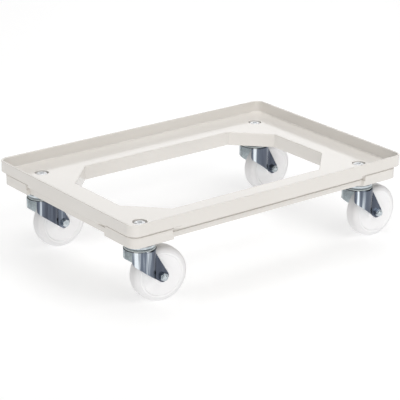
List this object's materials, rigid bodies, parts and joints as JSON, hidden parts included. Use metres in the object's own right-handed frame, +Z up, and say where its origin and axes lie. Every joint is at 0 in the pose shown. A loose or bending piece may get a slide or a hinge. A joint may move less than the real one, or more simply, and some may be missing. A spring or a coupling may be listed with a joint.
{
  "type": "platform trolley",
  "caption": "Low open-deck platform trolley: raised-rim plastic deck frame round a central opening, on swivel castors with plain wheels, for carrying stacked crates.",
  "frame": {"origin": "on the floor, under the middle of the bounding box of the whole trolley with its castors at rest", "axes": "+X along the long side of the deck, towards the end the castors trail to; +Y along the short side; +Z up"},
  "size_m": [0.6422, 0.415, 0.17],
  "materials": {
    "deck": "smooth moulded off-white",
    "wheel": "satin white",
    "zinc": "bright zinc plate",
    "fastener": "zinc plate",
    "bearing": "polished steel"
  },
  "bodies": {
    "deck": {"deck_frame": "deck", "front_left_mounting_bolt": "fastener", "front_left_mounting_washer": "fastener", "front_left_mounting_nut": "fastener", "front_left_swivel_head": "zinc", "front_left_upper_ball_ring": "bearing", "front_left_lower_ball_ring": "bearing", "front_left_lower_bearing_cup": "zinc", "front_right_mounting_bolt": "fastener", "front_right_mounting_washer": "fastener", "front_right_mounting_nut": "fastener", "front_right_swivel_head": "zinc", "front_right_upper_ball_ring": "bearing", "front_right_lower_ball_ring": "bearing", "front_right_lower_bearing_cup": "zinc", "back_left_mounting_bolt": "fastener", "back_left_mounting_washer": "fastener", "back_left_mounting_nut": "fastener", "back_left_swivel_head": "zinc", "back_left_upper_ball_ring": "bearing", "back_left_lower_ball_ring": "bearing", "back_left_lower_bearing_cup": "zinc", "back_right_mounting_bolt": "fastener", "back_right_mounting_washer": "fastener", "back_right_mounting_nut": "fastener", "back_right_swivel_head": "zinc", "back_right_upper_ball_ring": "bearing", "back_right_lower_ball_ring": "bearing", "back_right_lower_bearing_cup": "zinc"},
    "front_left_swivel": {"front_left_fork": "zinc", "front_left_axle_sleeve": "fastener", "front_left_axle_bolt": "fastener", "front_left_axle_nut": "fastener"},
    "front_left_rolling": {"front_left_wheel": "wheel"},
    "front_right_swivel": {"front_right_fork": "zinc", "front_right_axle_sleeve": "fastener", "front_right_axle_bolt": "fastener", "front_right_axle_nut": "fastener"},
    "front_right_rolling": {"front_right_wheel": "wheel"},
    "back_left_swivel": {"back_left_fork": "zinc", "back_left_axle_sleeve": "fastener", "back_left_axle_bolt": "fastener", "back_left_axle_nut": "fastener"},
    "back_left_rolling": {"back_left_wheel": "wheel"},
    "back_right_swivel": {"back_right_fork": "zinc", "back_right_axle_sleeve": "fastener", "back_right_axle_bolt": "fastener", "back_right_axle_nut": "fastener"},
    "back_right_rolling": {"back_right_wheel": "wheel"}
  },
  "joints": [
    {"name": "front_left_swivel_turn", "type": "hinge", "parent": "deck", "child": "front_left_swivel", "pos_m": [-0.26358, -0.15, 0.105], "axis": [0, 0, 1], "continuous": true},
    {"name": "front_left_wheel_spin", "type": "hinge", "parent": "front_left_swivel", "child": "front_left_rolling", "pos_m": [-0.2296, -0.15599, 0.05], "axis": [0.1736, 0.9848, 0], "continuous": true},
    {"name": "front_right_swivel_turn", "type": "hinge", "parent": "deck", "child": "front_right_swivel", "pos_m": [0.23642, -0.15, 0.105], "axis": [0, 0, 1], "continuous": true},
    {"name": "front_right_wheel_spin", "type": "hinge", "parent": "front_right_swivel", "child": "front_right_rolling", "pos_m": [0.2709, -0.1512, 0.05], "axis": [0.0349, 0.9994, 0], "continuous": true},
    {"name": "back_left_swivel_turn", "type": "hinge", "parent": "deck", "child": "back_left_swivel", "pos_m": [-0.26358, 0.15, 0.105], "axis": [0, 0, 1], "continuous": true},
    {"name": "back_left_wheel_spin", "type": "hinge", "parent": "back_left_swivel", "child": "back_left_rolling", "pos_m": [-0.2291, 0.1488, 0.05], "axis": [0.0349, 0.9994, 0], "continuous": true},
    {"name": "back_right_swivel_turn", "type": "hinge", "parent": "deck", "child": "back_right_swivel", "pos_m": [0.23642, 0.15, 0.105], "axis": [0, 0, 1], "continuous": true},
    {"name": "back_right_wheel_spin", "type": "hinge", "parent": "back_right_swivel", "child": "back_right_rolling", "pos_m": [0.27092, 0.1506, 0.05], "axis": [-0.0175, 0.9998, 0], "continuous": true}
  ]
}
